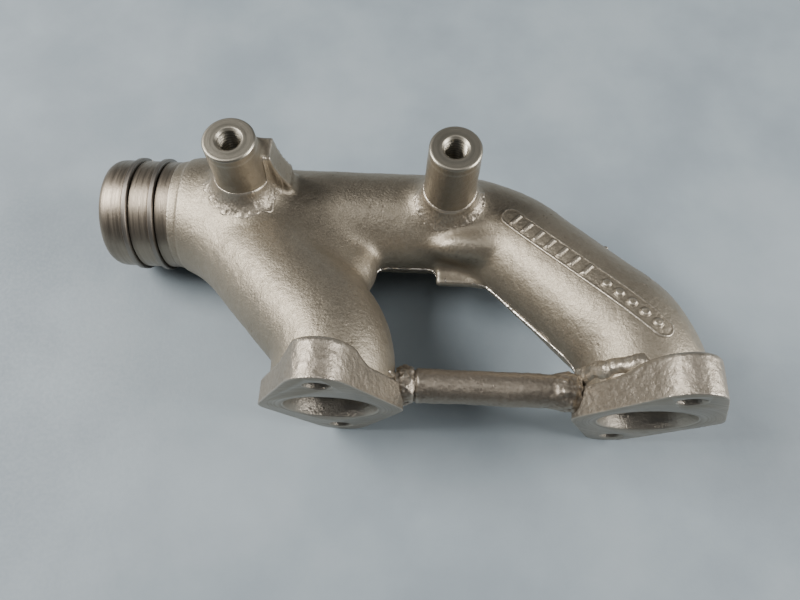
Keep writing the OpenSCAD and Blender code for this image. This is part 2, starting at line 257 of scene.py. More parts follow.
def rib_distance(p):
    """Distance from the skin of the rib behind the front boss."""
    scoop_r = 60.0
    scoop_x = RIB_LOW[0] + 16 + scoop_r
    block = box_distance(p, RIB_LOW, [RIB_LOW[0] + 22, RIB_HIGH[1], RIB_HIGH[2]], 1.2)
    scoop = scoop_r - np.hypot(p[:, 0] - scoop_x, p[:, 2] - RIB_HIGH[2] - 3)
    return np.maximum(block, scoop)


def window_corner_distance(p):
    """Distance from the shelf and the mound in the corner between the log and the rear runner."""
    shelf = box_distance(p, WEB_LOW + [-4, 0, 1], WEB_HIGH + [-1, 8, -1], 2)
    mound = mound_distance(p, [62, 85.5, -7], [17, 7, 9])
    return soft_union(shelf, mound, 2.5)


def body_distance(p):
    """Distance from the outer skin of the blended casting."""
    log = pipe_distance(p, LOG_LINE, LOG_RADII)
    log = np.maximum(log, LOG_START_X - p[:, 0])
    relief = np.hypot(p[:, 1] - LOG_AXIS[1], p[:, 2] - LOG_AXIS[2]) - RELIEF_R
    relief = np.maximum(relief, np.maximum(LAND_END_X - p[:, 0], p[:, 0] - LOG_START_X - 9))
    log = soft_union(log, relief, 2)
    front = np.maximum(pipe_distance(p, FRONT_LINE, FRONT_RADII), LAND_END_X - p[:, 0])
    skin = soft_union(log, front, 20)
    skin = soft_union(skin, pipe_distance(p, CORNER_LINE, [CORNER_R, CORNER_R]), 14)
    skin = soft_union(skin, boss_distance(p, BOSS_AXES[0], BOSS_TOP - 3.5), 15)
    skin = soft_union(skin, boss_distance(p, BOSS_AXES[1], BOSS_TOP - 3.5), 12)
    skin = soft_union(skin, rib_distance(p), 4)
    skin = soft_union(skin, window_corner_distance(p), 5)
    return np.maximum(skin, FLANGE_T - END_LAP - p[:, 1])


def body_normal(p):
    """Outward direction of the casting's skin."""
    step = 0.05
    ways = np.eye(3) * step
    slope = np.stack([body_distance(p + w) - body_distance(p - w) for w in ways], axis=1)
    return slope / np.linalg.norm(slope, axis=1)[:, None]


def drop_onto_body(x, y, top=60.0):
    """Points of the casting's skin met from above at plan places x, y."""
    p = np.stack([x, y, np.full(len(x), top)], axis=1)
    for _ in range(60):
        p[:, 2] -= 0.8 * body_distance(p)
    return p


# --- Mesh helpers ------------------------------------------------------------


def make_object(name, points, faces):
    """Smooth mesh object from points in the part's frame."""
    mesh = bpy.data.meshes.new(name)
    mesh.from_pydata((np.asarray(points, float) * MM).tolist(), [], [tuple(f) for f in faces])
    mesh.validate()
    mesh.shade_smooth()
    obj = bpy.data.objects.new(name, mesh)
    bpy.context.scene.collection.objects.link(obj)
    face_outward(obj)
    return obj


def face_outward(obj):
    """Turns all faces of a closed mesh outward."""
    bm = bmesh.new()
    bm.from_mesh(obj.data)
    bmesh.ops.recalc_face_normals(bm, faces=bm.faces)
    bm.to_mesh(obj.data)
    bm.free()


def mesh_points(obj):
    """The object's points in millimetres."""
    co = np.empty(len(obj.data.vertices) * 3)
    obj.data.vertices.foreach_get("co", co)
    return co.reshape(-1, 3) / MM


def set_points(obj, points):
    obj.data.vertices.foreach_set("co", (points * MM).ravel())
    obj.data.update()


def point_normals(obj):
    no = np.empty(len(obj.data.vertices) * 3)
    obj.data.vertex_normals.foreach_get("vector", no)
    return no.reshape(-1, 3)


def ring_faces(rows, sides, closed=False):
    """Faces between rows of points, and end caps unless the rows close on themselves."""
    faces = []
    for i in range(rows if closed else rows - 1):
        j = (i + 1) % rows
        for k in range(sides):
            m = (k + 1) % sides
            faces.append((i * sides + k, i * sides + m, j * sides + m, j * sides + k))
    if not closed:
        faces.append(tuple(range(sides))[::-1])
        faces.append(tuple(range((rows - 1) * sides, rows * sides)))
    return faces


def tube_points(line, radii, sides):
    """Rows of points round a line."""
    line = np.asarray(line, float)
    ways = np.gradient(line, axis=0)
    ways /= np.linalg.norm(ways, axis=1)[:, None]
    angle = np.arange(sides)[:, None] * 2 * math.pi / sides
    across = unit(np.cross(ways[0], [0.1, 0.2, 1.0]))
    rows = []
    for place, way, r in zip(line, ways, radii):
        across = unit(across - way * (across @ way))
        other = np.cross(way, across)
        rows.append(place + r * (np.cos(angle) * across + np.sin(angle) * other))
    return np.vstack(rows)


def tube(name, line, radii, sides=64):
    """Closed round bar along a line."""
    return make_object(name, tube_points(line, radii, sides), ring_faces(len(line), sides))


def block(name, low, high):
    """Closed box between two corners."""
    x, y, z = zip(low, high)
    points = [[x[i], y[j], z[k]] for k in (0, 1) for i, j in ((0, 0), (1, 0), (1, 1), (0, 1))]
    return make_object(name, points, ring_faces(2, 4))


def lathe_points(profile, sides, origin, axis):
    """Rows of points where each (radius, along) of a profile turns round an axis."""
    profile = np.asarray(profile, float)
    axis = np.array(axis, float)
    across = unit(np.cross(axis, [0, 0, 1.0]) if abs(axis[2]) < 0.9 else np.array([1.0, 0, 0]))
    other = np.cross(axis, across)
    angle = np.arange(sides)[None, :, None] * 2 * math.pi / sides
    spokes = np.cos(angle) * across + np.sin(angle) * other
    rows = profile[:, 0, None, None] * spokes + profile[:, 1, None, None] * axis
    return (np.array(origin) + rows).reshape(-1, 3)


def lathe(name, profile, origin, axis, sides=128):
    """Closed turned piece from a closed profile."""
    points = lathe_points(profile, sides, origin, axis)
    return make_object(name, points, ring_faces(len(profile), sides, closed=True))


def plug(name, profile, origin, axis, sides=96):
    """Solid turned piece whose profile runs between its two end faces."""
    points = lathe_points(profile, sides, origin, axis)
    return make_object(name, points, ring_faces(len(profile), sides))


def settle(obj):
    """Makes the result of the object's modifiers its own mesh."""
    graph = bpy.context.evaluated_depsgraph_get()
    mesh = bpy.data.meshes.new_from_object(obj.evaluated_get(graph))
    old = obj.data
    obj.modifiers.clear()
    obj.data = mesh
    bpy.data.meshes.remove(old)
    mesh.name = obj.name


def cut_away(obj, cutter):
    """Cuts one closed mesh out of another."""
    cut = obj.modifiers.new("cut", "BOOLEAN")
    cut.operation = "DIFFERENCE"
    cut.solver = "MANIFOLD"
    cut.object = cutter
    settle(obj)
    bpy.data.objects.remove(cutter)


def knit(obj, cell):
    """Knits overlapping shells into one even skin."""
    skin = obj.modifiers.new("knit", "REMESH")
    skin.mode = "VOXEL"
    skin.voxel_size = cell * MM
    skin.use_smooth_shade = True
    settle(obj)


def pull_onto_skin(obj, rounds):
    """Moves the points of a rough body onto the blended skin."""
    for _ in range(rounds):
        points = mesh_points(obj)
        step = np.clip(body_distance(points), -1.5, 1.5)
        set_points(obj, points - step[:, None] * point_normals(obj))


def join(name, pieces):
    """Joins several closed meshes into one object."""
    bm = bmesh.new()
    for piece in pieces:
        bm.from_mesh(piece.data)
        bpy.data.objects.remove(piece)
    mesh = bpy.data.meshes.new(name)
    bm.to_mesh(mesh)
    bm.free()
    obj = bpy.data.objects.new(name, mesh)
    bpy.context.scene.collection.objects.link(obj)
    return obj


def set_corner_sharpness(obj, degrees):
    """Keeps edges crisp where faces meet at more than that angle."""
    obj.data.set_sharp_from_angle(angle=math.radians(degrees))


# --- The blended casting -----------------------------------------------------


def rough_body():
    """Overlapping shells close to the casting's outer skin."""
    shells = [tube("log_shell", LOG_LINE, LOG_RADII), tube("runner_shell", FRONT_LINE, FRONT_RADII)]
    relief_line = [LOG_AXIS + np.array([x, 0, 0]) for x in (LAND_END_X, LOG_START_X + 9)]
    shells.append(tube("relief_shell", relief_line, [RELIEF_R, RELIEF_R]))
    shells.append(tube("corner_shell", CORNER_LINE, [CORNER_R, CORNER_R]))
    shells.append(block("rib_shell", RIB_LOW, [RIB_LOW[0] + 17, RIB_HIGH[1], RIB_HIGH[2]]))
    shells.append(block("shelf_shell", WEB_LOW + [-4, 0, 1], WEB_HIGH + [-1, 8, -1]))
    for axis in BOSS_AXES:
        sides = [(boss_radius(z), z) for z in (LOG_AXIS[2], BOSS_TOP - 3.5)]
        shells.append(plug("boss_shell", sides, [axis[0], axis[1], 0], [0, 0, 1]))
    return join("manifold_body", shells)


def skin_relief(points):
    """Low waves and sand roughness left by the mould."""
    low = 0.22 * lumps(points, 17, 1) + 0.09 * lumps(points, 6, 2)
    return low + 0.09 * lumps(points, 2.3, 3)


def make_body():
    """The one-piece log, runners, boss feet and rib, hollow along both gas paths."""
    body = rough_body()
    knit(body, 1.5)
    pull_onto_skin(body, 6)
    knit(body, 0.95)
    pull_onto_skin(body, 4)
    points = mesh_points(body)
    keep = np.clip((points[:, 1] - FLANGE_T) / 6, 0, 1) * np.clip((points[:, 0] - LOG_START_X) / 6, 0, 1)
    keep *= np.clip((BOSS_TOP - 6 - points[:, 2]) / 4, 0, 1)
    set_points(body, points + (keep * skin_relief(points))[:, None] * point_normals(body))
    inner = log_line(LAND_END_X - 2, 12)
    cut_away(body, tube("log_bore", inner, [GAS_R] * len(inner)))
    inner = front_line(12)
    cut_away(body, tube("runner_bore", inner, [GAS_R] * len(inner)))
    for axis in BOSS_AXES:
        well = [(9.0, BOSS_TOP - 26), (9.0, BOSS_TOP + 4)]
        cut_away(body, plug("boss_well", well, [axis[0], axis[1], 0], [0, 0, 1]))
    return body


# --- Bosses ------------------------------------------------------------------

THREAD_PITCH = 1.75
THREAD_DEPTH = 0.95


def thread_rise(points, axis, top, bottom):
    """How far the thread's groove runs outward at each point of the hole's wall."""
    angle = np.arctan2(points[:, 1] - axis[1], points[:, 0] - axis[0])
    turn = (points[:, 2] / THREAD_PITCH - angle / (2 * math.pi)) % 1.0
    groove = 1 - np.abs(turn * 2 - 1)
    groove = np.clip(groove * 1.25 - 0.12, 0, 1)
    fade = np.clip((top - points[:, 2]) / 0.8, 0, 1) * np.clip((points[:, 2] - bottom) / 1.2, 0, 1)
    return THREAD_DEPTH * groove * fade


def make_boss_top(name, axis):
    """Machined top of a boss with its tapped hole."""
    top = BOSS_TOP
    mouth_r = TAP_R + 1.0
    hole_top = top - 1.0
    hole_end = top - 21.5
    rows = np.arange(hole_top, hole_end, -THREAD_PITCH / 8)
    profile = [(9.4, top - 25), (9.4, top - 5), (boss_radius(top - 5), top - 4.6)]
    profile += [(boss_radius(z), z) for z in (top - 4, top - 2.5, top - 1.2, top - 0.75)]
    profile += [(BOSS_TOP_R - 0.1, top - 0.6), (BOSS_TOP_R - 0.55, top - 0.1), (BOSS_TOP_R - 0.75, top)]
    profile += [(r, top) for r in (10.5, 9.5, 8.5, 7.5, 6.8, mouth_r + 0.15)]
    profile += [(mouth_r, top - 0.1), (TAP_R + 0.1, hole_top + 0.1)]
    profile += [(TAP_R, z) for z in rows]
    profile += [(TAP_R - 0.3, hole_end - 0.6), (0.3, hole_end - 3)]
    sides = 96
    points = lathe_points(profile, sides, [axis[0], axis[1], 0], [0, 0, 1])
    wall = np.hypot(points[:, 0] - axis[0], points[:, 1] - axis[1])
    in_hole = (wall < TAP_R + 0.02) & (points[:, 2] > hole_end)
    rise = thread_rise(points, axis, hole_top, hole_end) * in_hole
    spoke = points - np.array([axis[0], axis[1], 0])
    spoke[:, 2] = 0
    points += spoke / np.maximum(wall, 0.1)[:, None] * rise[:, None]
    obj = make_object(name, points, ring_faces(len(profile), sides, closed=True))
    set_corner_sharpness(obj, 38)
    return obj


def make_boss_crust(name, axis, start, end, width, seed):
    """Rough crust of sand and metal on the fillet round the foot of a boss."""
    angles = np.radians(np.arange(start, end, 0.9))
    across = np.linspace(0, 1, 30)
    grid_a, grid_t = np.meshgrid(angles, across, indexing="ij")
    flat_a, flat_t = grid_a.ravel(), grid_t.ravel()
    ring = np.stack([np.cos(flat_a) * 9, np.sin(flat_a) * 9, np.zeros(len(flat_a))], axis=1)
    reach = width * (1 + 0.35 * lumps(ring, 4.5, seed) + 0.22 * lumps(ring, 1.6, seed + 1))
    r = BOSS_FOOT_R - 0.4 + flat_t * reach
    skin = drop_onto_body(axis[0] + r * np.cos(flat_a), axis[1] + r * np.sin(flat_a))
    ends = np.clip(np.minimum(flat_a - angles[0], angles[-1] - flat_a) / 0.25, 0, 1)
    rim = np.clip((1 - flat_t) * 7, 0, 1) * ends
    rough = 0.12 + flat_t * flat_t
    rise = 0.18 + rough * (0.42 * lumps(skin, 3.0, seed + 2) + 0.30 * lumps(skin, 1.4, seed + 3))
    rise += 0.10 * lumps(skin, 0.8, seed + 4) + 0.25 * np.clip(lumps(ring, 2.4, seed + 5), 0, 1) * flat_t
    rise = rise * rim - 0.7 * (1 - rim)
    normals = body_normal(skin)
    top = skin + normals * rise[:, None]
    return slab(name, top, skin - normals * 2.2, len(angles), len(across))


# --- Flanges -----------------------------------------------------------------


def even_loop(points, step):
    """Evenly spaced points round a closed outline."""
    closed = np.vstack([points, points[:1]])
    lengths = np.concatenate([[0], np.cumsum(np.linalg.norm(np.diff(closed, axis=0), axis=1))])
    places = np.linspace(0, lengths[-1], int(lengths[-1] / step) + 1)[:-1]
    return np.stack([np.interp(places, lengths, closed[:, k]) for k in (0, 1)], axis=1)


def flange_outline(axis, tip_rise):
    """Outline of a flange: two stud lobes and two side tips joined by tangents, as x, z."""
    lobe_r, tip_r, half_w = 13.0, 6.0, 33.0
    lobe = STUD_REACH * axis[[0, 2]]
    tip_way = math.radians(tip_rise) - math.atan2(axis[0], axis[2])
    tip = (half_w - tip_r) * np.array([math.cos(tip_way), math.sin(tip_way)])
    circles = [(lobe, lobe_r), (-lobe, lobe_r), (tip, tip_r), (-tip, tip_r)]
    loop = []
    for angle in np.linspace(0, 2 * math.pi, 721)[:-1]:
        way = np.array([math.cos(angle), math.sin(angle)])
        centre, r = max(circles, key=lambda c: float(c[0] @ way) + c[1])
        loop.append(centre + r * way)
    loop = even_loop(np.array(loop), 0.7)
    for _ in range(34):
        loop = (np.roll(loop, 1, axis=0) + 2 * loop + np.roll(loop, -1, axis=0)) / 4
    return loop


def outline_normals(loop):
    ahead = np.roll(loop, -1, axis=0) - np.roll(loop, 1, axis=0)
    normals = np.stack([ahead[:, 1], -ahead[:, 0]], axis=1)
    return normals / np.linalg.norm(normals, axis=1)[:, None]


def flange_depth(x, thin_left, thin_right):
    """Thickness at x across a flange: full over the stud lobes, thinner out at its tips."""
    fall = np.clip((np.abs(x) - 11) / 8, 0, 1)
    return FLANGE_T - np.where(x < 0, thin_left, thin_right) * fall * fall * (3 - 2 * fall)


def make_flange(name, port, upper_stud, tip_rise, thin, seed):
    """Bolting flange with a rough cast rim, a milled face and drilled stud holes."""
    axis = (upper_stud - port) / STUD_REACH
    loop = flange_outline(axis, tip_rise)
    normals = outline_normals(loop)
    depth = np.concatenate([[0, 0.35], np.arange(1.0, FLANGE_T - 2.4, 0.7)])
    inset = np.concatenate([[0.35, 0], np.zeros(len(depth) - 2)])
    round_r = 2.2
    bow = np.linspace(0, math.pi / 2, 6)
    depth = np.concatenate([depth, FLANGE_T - round_r + round_r * np.sin(bow)])
    inset = np.concatenate([inset, round_r * (1 - np.cos(bow))])
    rows = []
    for y, cut in zip(depth, inset):
        ring = loop - normals * cut
        rows.append(np.stack([ring[:, 0] + port[0], np.full(len(ring), y), ring[:, 1] + port[2]], axis=1))
    for shrink in (0.92, 0.8, 0.65, 0.5, 0.38):
        ring = (loop - normals * round_r) * shrink
        rows.append(np.stack([ring[:, 0] + port[0], np.full(len(ring), FLANGE_T), ring[:, 1] + port[2]],
                             axis=1))
    points = np.vstack(rows)
    points[:, 1] *= flange_depth(points[:, 0] - port[0], *thin) / FLANGE_T
    outward = np.tile(np.stack([normals[:, 0], np.zeros(len(loop)), normals[:, 1]], axis=1), (len(rows), 1))
    rough = 0.20 * lumps(points, 9, seed) + 0.13 * lumps(points, 2.2, seed + 1)
    rough += 0.12 * lumps(points, 1.1, seed + 2) - 0.2
    fade = np.clip(points[:, 1] / 1.2, 0.35, 1)
    points += outward * (rough * fade)[:, None]
    obj = make_object(name, points, ring_faces(len(rows), len(loop)))
    mouth = [(GAS_R + 1.5, -1), (GAS_R + 0.5, 0), (GAS_R, 0.5), (GAS_R, FLANGE_T + 1)]
    cut_away(obj, plug("port_cut", mouth, port, [0, 1, 0], 128))
    for side in (-1, 1):
        hole = port + side * STUD_REACH * axis
        drill = [(STUD_R + 1.6, -1), (STUD_R + 0.6, 0), (STUD_R, 0.6), (STUD_R, FLANGE_T + 1)]
        cut_away(obj, plug("stud_cut", drill, hole, [0, 1, 0], 48))
    set_corner_sharpness(obj, 50)
    return obj


def mark_milled_faces(obj, slot_number):
    """Gives the flange's flat face its own material slot."""
    for face in obj.data.polygons:
        if face.center[1] < 0.01 * MM and abs(face.normal[1]) > 0.9:
            face.material_index = slot_number


# --- Spigot and rings --------------------------------------------------------


def make_spigot():
    """Turned spigot with its two ring grooves."""
    profile = [(GAS_R, LAND_END_X + 1), (GAS_R, NOSE_X + 0.8), (GAS_R + 0.8, NOSE_X)]
    profile += [(LAND_R - 2.6, NOSE_X), (LAND_R - 1.6, NOSE_X + 0.35)]
    profile += [(LAND_R - 0.9, NOSE_X + 1.4), (LAND_R - 0.35, NOSE_X + 2.6), (LAND_R, NOSE_X + 4.6)]
    for ring in ("outer_seal_ring", "inner_seal_ring"):
        low, high = node_box(ring)
        floor_r = (high[2] - low[2]) / 2 - 3.5
        profile += [(LAND_R, low[0] - 0.7), (LAND_R - 0.3, low[0] - 0.35), (floor_r, low[0] - 0.3)]
        profile += [(floor_r, high[0] + 0.3), (LAND_R - 0.3, high[0] + 0.35), (LAND_R, high[0] + 0.6)]
    profile += [(LAND_R, LAND_END_X - 0.6), (LAND_R - 0.5, LAND_END_X), (RELIEF_R - 0.5, LAND_END_X)]
    profile += [(RELIEF_R - 0.5, LAND_END_X + 1)]
    obj = lathe("spigot_lands", profile, [0, LOG_AXIS[1], LOG_AXIS[2]], [1, 0, 0], 192)
    set_corner_sharpness(obj, 30)
    return obj


def ring_section(low, high, outer_r, depth):
    """Cross-section of a sealing ring as (radius, along)."""
    e = 0.35
    inner_r = outer_r - depth
    return [(inner_r, low + e), (inner_r + e, low), (outer_r - 0.9, low), (outer_r - e, low + 0.12),
            (outer_r, low + e + 0.1), (outer_r, high - e - 0.1), (outer_r - e, high - 0.12),
            (outer_r - 0.9, high), (inner_r + e, high), (inner_r, high - e)]


def make_ring(name, node, split_angle):
    """Split sealing ring; the split is an open gap."""
    low, high = node_box(node)
    outer_r = (high[2] - low[2]) / 2
    section = ring_section(low[0] + 0.01, high[0] - 0.01, outer_r - 0.01, 3.2)
    gap = 0.6 / outer_r
    start = math.radians(split_angle) + gap
    angles = np.linspace(start, start + 2 * (math.pi - gap), 220)
    rows = []
    for angle in angles:
        for r, x in section:
            rows.append([x, LOG_AXIS[1] + r * math.cos(angle), LOG_AXIS[2] + r * math.sin(angle)])
    obj = make_object(name, rows, ring_faces(len(angles), len(section)))
    set_corner_sharpness(obj, 35)
    return obj


# --- Tie bar -----------------------------------------------------------------


def make_tie_bar():
    """Rough cast bar between the flanges, with ragged swellings at its ends."""
    left, right = BAR_LOW[0] - 2.5, BAR_HIGH[0] + 2.5
    x = np.arange(left, right, 0.5)
    swell = 1.2 * np.exp(-((x - left - 4) / 3.0) ** 2) + 1.5 * np.exp(-((x - right + 6) / 5.0) ** 2)
    neck = 1.1 * np.exp(-((x - left - 8.5) / 0.8) ** 2)
    line = np.stack([x, np.full(len(x), BAR_AXIS[1]), np.full(len(x), BAR_AXIS[2])], axis=1)
    obj = tube("tie_bar_casting", line, BAR_R + swell - neck, 110)
    points = mesh_points(obj)
    ends = np.exp(-((points[:, 0] - left) / 8) ** 2) + np.exp(-((points[:, 0] - right) / 11) ** 2)
    rough = (0.12 + 0.60 * ends) * lumps(points, 2.6, 21) + (0.08 + 0.38 * ends) * lumps(points, 1.2, 22)
    rough += 0.3 * lumps(points, 11, 23)
    set_points(obj, points + rough[:, None] * point_normals(obj))
    return obj


def make_bead(name, centre, normal, start, end, ring_r, bead_r, seed):
    """Ragged bead along part of a ring, thinning out at its ends."""
    normal = unit(np.array(normal, float))
    across = unit(np.cross(normal, [0.0, 0.0, 1.0]))
    up = np.cross(across, normal)
    angles = np.radians(np.arange(start, end, 0.9))
    spokes = np.cos(angles)[:, None] * across + np.sin(angles)[:, None] * up
    line = np.array(centre) + ring_r * spokes
    taper = np.clip(np.minimum(angles - angles[0], angles[-1] - angles) / 0.16, 0.12, 1)
    wave = 1 + 0.14 * lumps(line, 9, seed)
    obj = tube(name, line, bead_r * taper * wave, 30)
    points = mesh_points(obj)
    rough = 0.8 * lumps(points, 3.6, seed) + 0.4 * lumps(points, 1.5, seed + 1)
    set_points(obj, points + rough[:, None] * point_normals(obj))
    return obj


# --- Parting flash, pad and pip ----------------------------------------------

WINDOW_CENTRE = np.array([56.0, 52.0])
FLASH_SPAN = (-33, 158)     # degrees round the window


def parting_height(y):
    """Height of the mould's parting line at a distance y behind the flange face."""
    return np.interp(y, [30, 80], [-5.0, LOG_AXIS[2]])


def make_flash():
    """Thin ragged flash along the parting line round the window."""
    angles = np.radians(np.arange(*FLASH_SPAN, 0.55))
    ways = np.stack([np.cos(angles), np.sin(angles)], axis=1)
    reach = np.full(len(angles), 12.0)
    for _ in range(50):
        spot = WINDOW_CENTRE + ways * reach[:, None]
        p = np.column_stack([spot, parting_height(spot[:, 1])])
        reach += 0.8 * body_distance(p)
    foot = WINDOW_CENTRE + ways * (reach + 1.2)[:, None]
    wave = lumps(np.column_stack([foot, angles * 9]), 2.6, 31)
    stand = 0.8 + 0.35 * wave
    ends = np.clip(np.minimum(angles - angles[0], angles[-1] - angles) / 0.12, 0, 1)
    edge = WINDOW_CENTRE + ways * (reach - stand * ends)[:, None]
    height = parting_height(foot[:, 1])
    rows = []
    half = 0.22
    for k in range(len(angles)):
        z = height[k] + 0.25 * wave[k]
        rows += [[*foot[k], z - half], [*edge[k], z - half * 0.5], [*edge[k], z + half * 0.5],
                 [*foot[k], z + half]]
    return make_object("window_flash", rows, ring_faces(len(angles), 4))


PAD_FROM = np.array([78.0, 100.5])
PAD_TO = np.array([144.0, 31.0])
PAD_HALF_W = 5.2


def mark_height(u, v, length):
    """Height of the plain marks at u along and v across the pad: seven bars, then five dots."""
    pitch = length / 13.6
    rise = np.zeros(len(u))
    for i in range(7):
        du = u - (1.2 + i) * pitch
        bar = np.maximum(np.abs(du) - 0.9, np.abs(v) - 3.2)
        rise = np.maximum(rise, np.clip(0.5 - bar / 0.7, 0, 1))
    for i in range(5):
        dot = np.hypot(u - (8.7 + i * 0.95) * pitch, v) - 1.9
        rise = np.maximum(rise, np.clip(0.5 - dot / 0.7, 0, 1))
    return rise


def make_pad():
    """Raised pad over the rear runner with a thin border and plain marks."""
    way = PAD_TO - PAD_FROM
    length = np.linalg.norm(way)
    way = way / length
    side_way = np.array([-way[1], way[0]])
    u = np.arange(-1.2, length + 1.2, 0.42)
    v = np.arange(-PAD_HALF_W - 1.2, PAD_HALF_W + 1.21, 0.42)
    grid_u, grid_v = np.meshgrid(u, v, indexing="ij")
    flat_u, flat_v = grid_u.ravel(), grid_v.ravel()
    plan = PAD_FROM + flat_u[:, None] * way + flat_v[:, None] * side_way
    skin = drop_onto_body(plan[:, 0], plan[:, 1])
    past = np.maximum(np.abs(flat_u - length / 2) - (length / 2 - PAD_HALF_W), 0)
    rim = np.hypot(past, flat_v) - PAD_HALF_W
    plate = np.clip(-rim / 0.7, 0, 1)
    border = np.exp(-((rim + 0.75) / 0.42) ** 2)
    rise = 0.30 * plate + 0.38 * border + 1.0 * mark_height(flat_u, flat_v, length) * (rim < -0.6)
    rise += 0.10 * lumps(skin, 1.3, 41) * plate
    rise -= 1.1 * np.clip(rim / 0.6 + 0.4, 0, 1)
    normals = body_normal(skin)
    top = skin + normals * (rise + 0.15)[:, None]
    under = skin - normals * 2.5
    return slab("marking_pad_plate", top, under, len(u), len(v))


def slab(name, top, under, rows, columns):
    """Closed slab between two grids of points."""
    faces = []
    count = rows * columns
    for i in range(rows - 1):
        for j in range(columns - 1):
            a = i * columns + j
            quad = (a, a + 1, a + columns + 1, a + columns)
            faces.append(quad)
            faces.append(tuple(count + k for k in reversed(quad)))
    edge = list(range(columns))
    edge += [i * columns + columns - 1 for i in range(1, rows)]
    edge += [(rows - 1) * columns + j for j in range(columns - 2, -1, -1)]
    edge += [i * columns for i in range(rows - 2, 0, -1)]
    for a, b in zip(edge, edge[1:] + edge[:1]):
        faces.append((b, a, count + a, count + b))
    return make_object(name, np.vstack([top, under]), faces)


def make_pip():
    """Small vent pip on the outer side of the rear runner."""
    low, high = node_box("vent_pip")
    centre = (low + high) / 2
    spot = drop_onto_body(np.array([centre[0]]), np.array([centre[1]]) - 4)
    normal = body_normal(spot)[0]
    profile = [(1.9, -1.0), (1.5, 0.1), (1.15, 0.6), (0.9, 1.0), (0.3, 1.15)]
    return plug("vent_pip_stub", profile, spot[0], normal, 24)


# --- Shared finish effects ---------------------------------------------------


def new_group(name, inputs, outputs):
    """Empty node group with named sockets."""
    group = bpy.data.node_groups.new(name, "ShaderNodeTree")
    for label, kind, value in inputs:
        socket = group.interface.new_socket(label, in_out="INPUT", socket_type=kind)
        if value is not None:
            socket.default_value = value
    for label, kind in outputs:
        group.interface.new_socket(label, in_out="OUTPUT", socket_type=kind)
    return group, group.nodes.new("NodeGroupInput"), group.nodes.new("NodeGroupOutput")


def add_node(tree, kind, settings=None, **values):
    """Node with its settings and its socket values or links."""
    node = tree.nodes.new(kind)
    for key, value in (settings or {}).items():
        setattr(node, key, value)
    for key, value in values.items():
        socket = node.inputs[int(key[1:])] if key[0] == "i" and key[1:].isdigit() else node.inputs[key]
        if isinstance(value, bpy.types.NodeSocket):
            tree.links.new(value, socket)
        else:
            socket.default_value = value
    return node


def sum_of(tree, operation, a, b, limit=False):
    """Result of a Math node."""
    node = add_node(tree, "ShaderNodeMath", {"operation": operation, "use_clamp": limit}, i0=a, i1=b)
    return node.outputs[0]


def ramp_between(tree, value, low, high, out_low=0.0, out_high=1.0):
    """Value mapped smoothly from one range to another."""
    node = add_node(tree, "ShaderNodeMapRange", {"interpolation_type": "SMOOTHSTEP"}, i0=value)
    node.inputs["From Min"].default_value = low
    node.inputs["From Max"].default_value = high
    node.inputs["To Min"].default_value = out_low
    node.inputs["To Max"].default_value = out_high
    return node.outputs[0]


def noise_value(tree, place, scale, detail=3.0, rough=0.55):
    node = add_node(tree, "ShaderNodeTexNoise", Vector=place, Scale=scale, Detail=detail, Roughness=rough)
    return node.outputs[0]


def blend_colour(tree, share, a, b, mode="MIX"):
    """Colour mixed between a and b."""
    node = add_node(tree, "ShaderNodeMix", {"data_type": "RGBA", "blend_type": mode})
    for label, value in ((0, share), (6, a), (7, b)):
        if isinstance(value, bpy.types.NodeSocket):
            tree.links.new(value, node.inputs[label])
        else:
            node.inputs[label].default_value = value
    return node.outputs[2]


def sand_grain_group():
    """Height and pit mask of a sand-cast skin: fine grain, soft orange peel and scattered pits."""
    tree, start, end = new_group(
        "sand grain",
        [("Place", "NodeSocketVector", None), ("Grain Size", "NodeSocketFloat", 1.0),
         ("Pitting", "NodeSocketFloat", 1.0)],
        [("Height", "NodeSocketFloat"), ("Pits", "NodeSocketFloat")])
    scaled = add_node(tree, "ShaderNodeVectorMath", {"operation": "SCALE"}, i0=start.outputs["Place"])
    tree.links.new(start.outputs["Grain Size"], scaled.inputs["Scale"])
    place = scaled.outputs[0]
    fine = noise_value(tree, place, 2300.0, 2.0, 0.6)
    peel = noise_value(tree, place, 850.0, 2.0, 0.5)
    spots = add_node(tree, "ShaderNodeTexVoronoi", {"feature": "F1"}, Vector=place, Scale=330.0)
    dots = ramp_between(tree, spots.outputs["Distance"], 0.10, 0.30, 1.0, 0.0)
    where = ramp_between(tree, noise_value(tree, place, 55.0, 3.0), 0.50, 0.68)
    pits = sum_of(tree, "MULTIPLY", sum_of(tree, "MULTIPLY", dots, where), start.outputs["Pitting"])
    height = sum_of(tree, "ADD", sum_of(tree, "MULTIPLY", fine, 0.45), sum_of(tree, "MULTIPLY", peel, 0.9))
    height = sum_of(tree, "SUBTRACT", height, sum_of(tree, "MULTIPLY", pits, 0.9))
    tree.links.new(height, end.inputs["Height"])
    tree.links.new(pits, end.inputs["Pits"])
    return tree


def edge_wear_and_shade_group():
    """Masks for rubbed ridges and for painted shade in hollows."""
    tree, start, end = new_group(
        "edge wear and hollow shade",
        [("Place", "NodeSocketVector", None), ("Reach", "NodeSocketFloat", 0.05)],
        [("Ridges", "NodeSocketFloat"), ("Hollow Shade", "NodeSocketFloat")])
    bend = add_node(tree, "ShaderNodeNewGeometry").outputs["Pointiness"]
    broken = noise_value(tree, start.outputs["Place"], 260.0, 4.0)
    over = sum_of(tree, "SUBTRACT", bend, 0.5)
    ridge = sum_of(tree, "DIVIDE", over, start.outputs["Reach"])
    ridge = sum_of(tree, "MULTIPLY", ridge, sum_of(tree, "ADD", broken, 0.5), True)
    # Concave places get a mask used to paint shade into the colour.
    hollow_shade = sum_of(tree, "DIVIDE", sum_of(tree, "MULTIPLY", over, -1.0), start.outputs["Reach"], True)
    tree.links.new(ridge, end.inputs["Ridges"])
    tree.links.new(hollow_shade, end.inputs["Hollow Shade"])
    return tree


